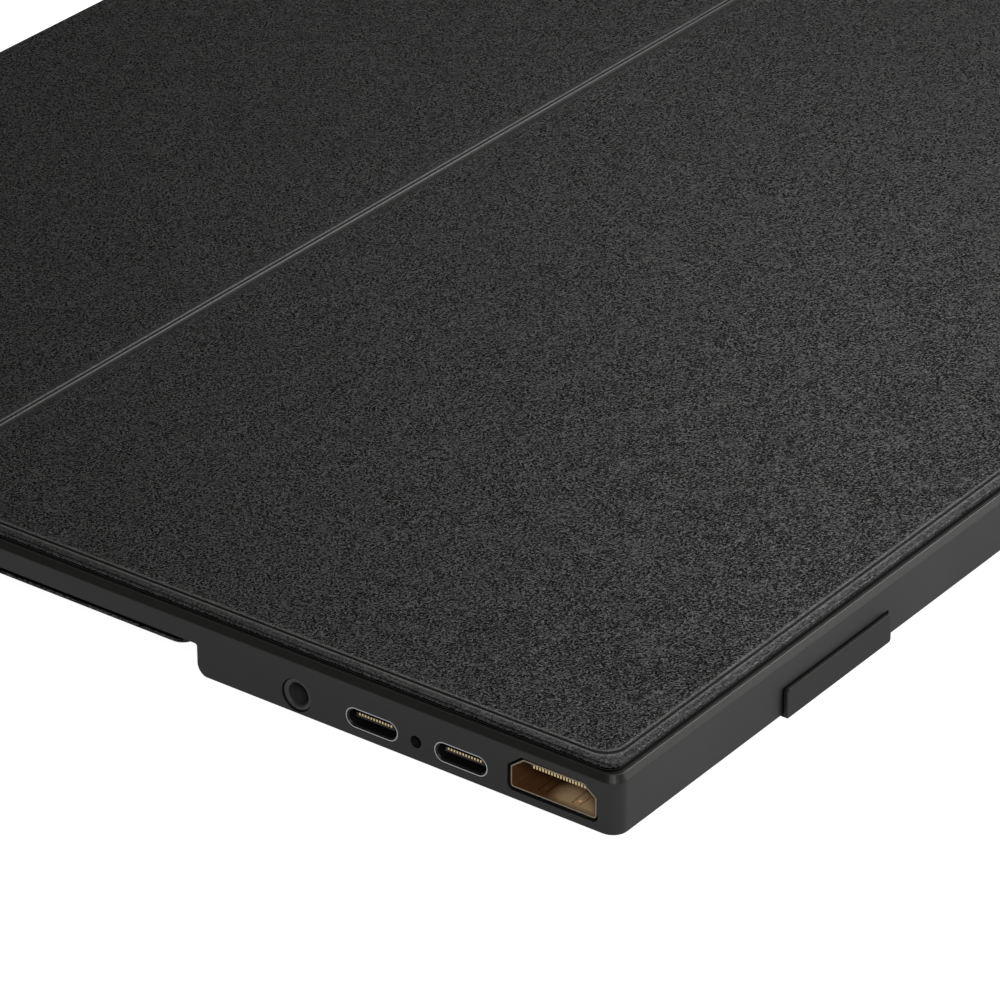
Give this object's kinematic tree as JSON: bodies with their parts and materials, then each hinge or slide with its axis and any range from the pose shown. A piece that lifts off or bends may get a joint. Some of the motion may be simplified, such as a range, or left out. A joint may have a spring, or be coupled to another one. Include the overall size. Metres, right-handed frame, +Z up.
{
  "type": "portable monitor with folio cover",
  "caption": "Slim portable monitor with an electronics bump, side ports and a hinged magnetic leather folio cover closed over its screen.",
  "frame": {"origin": "middle of the object's box at its lowest height, on the surface that the feet rest on, 0.6 mm below the electronics bump", "axes": "+X along the long edges away from the port side, -Y towards the bottom edge with the feet, +Z up out of the closed cover"},
  "size_m": [0.356, 0.221, 0.0111],
  "materials": {
    "housing_plastic": "fine satin moulded",
    "frame_plastic": "satin moulded",
    "screen_surface": "anti-glare film",
    "light_guide": "clear sheet",
    "sheet_steel": "rolled",
    "circuit_board": "solder mask",
    "flat_cable": "polyimide film",
    "plated_steel": "nickel plated",
    "hdmi_plating": "warm plated",
    "connector_plastic": "moulded",
    "contact_gold": "gold flash",
    "jack_plastic": "moulded",
    "smoked_lens": "smoked clear",
    "key_plastic": "satin moulded",
    "foot_rubber": "matt moulded",
    "cover_leather": "embossed grain",
    "cover_board": "fibre board",
    "cover_lining": "microfibre"
  },
  "bodies": {
    "monitor": {"rear_housing": "housing_plastic", "front_frame": "frame_plastic", "display_panel": "screen_surface", "backlight": "light_guide", "led_bar": "light_guide", "panel_back_plate": "sheet_steel", "driver_board": "circuit_board", "flex_cable": "flat_cable", "main_board": "circuit_board", "board_screws": "plated_steel", "hdmi_shell": "hdmi_plating", "hdmi_tongue": "connector_plastic", "hdmi_contacts": "contact_gold", "usb_c_near_shell": "plated_steel", "usb_c_near_tongue": "connector_plastic", "usb_c_near_contacts": "contact_gold", "usb_c_far_shell": "plated_steel", "usb_c_far_tongue": "connector_plastic", "usb_c_far_contacts": "contact_gold", "audio_jack": "jack_plastic", "jack_springs": "contact_gold", "status_light": "smoked_lens", "speaker_left": "connector_plastic", "speaker_right": "connector_plastic", "switch_board": "circuit_board", "tact_switches": "plated_steel", "key_bracket": "connector_plastic", "rocker_pin": "plated_steel", "foot_left": "foot_rubber", "foot_right": "foot_rubber", "housing_magnets": "plated_steel", "frame_magnets": "plated_steel", "flap_leather": "cover_leather", "flap_board": "cover_board", "flap_magnets": "plated_steel", "flap_lining": "cover_lining"},
    "power_key": {"power_button": "key_plastic"},
    "menu_key": {"menu_rocker": "key_plastic"},
    "spine": {"spine_leather": "cover_leather", "spine_board": "cover_board", "spine_lining": "cover_lining"},
    "cover_upper": {"upper_leather": "cover_leather", "upper_board": "cover_board", "upper_lining": "cover_lining"},
    "cover_lower": {"lower_leather": "cover_leather", "lower_board": "cover_board", "lower_magnets": "plated_steel", "lower_lining": "cover_lining"}
  },
  "joints": [
    {"name": "spine_fold", "type": "hinge", "parent": "monitor", "child": "spine", "pos_m": [0, 0.10995, 0.0043], "axis": [-1, 0, 0], "range_deg": [0, 90]},
    {"name": "cover_fold", "type": "hinge", "parent": "spine", "child": "cover_upper", "pos_m": [0, 0.10995, 0.0106], "axis": [-1, 0, 0], "range_deg": [0, 180]},
    {"name": "crease_fold", "type": "hinge", "parent": "cover_upper", "child": "cover_lower", "pos_m": [0, 0.0218, 0.0108], "axis": [-1, 0, 0], "range_deg": [0, 120]},
    {"name": "power_press", "type": "slide", "parent": "monitor", "child": "power_key", "axis": [-1, 0, 0], "range_m": [0, 0.0004], "stiffness_N_per_m": 1500},
    {"name": "menu_rock", "type": "hinge", "parent": "monitor", "child": "menu_key", "pos_m": [0.1752, -0.0658, 0.0042], "axis": [0, 0, 1], "range_deg": [-2.5, 2.5], "stiffness_Nm_per_rad": 0.12}
  ]
}
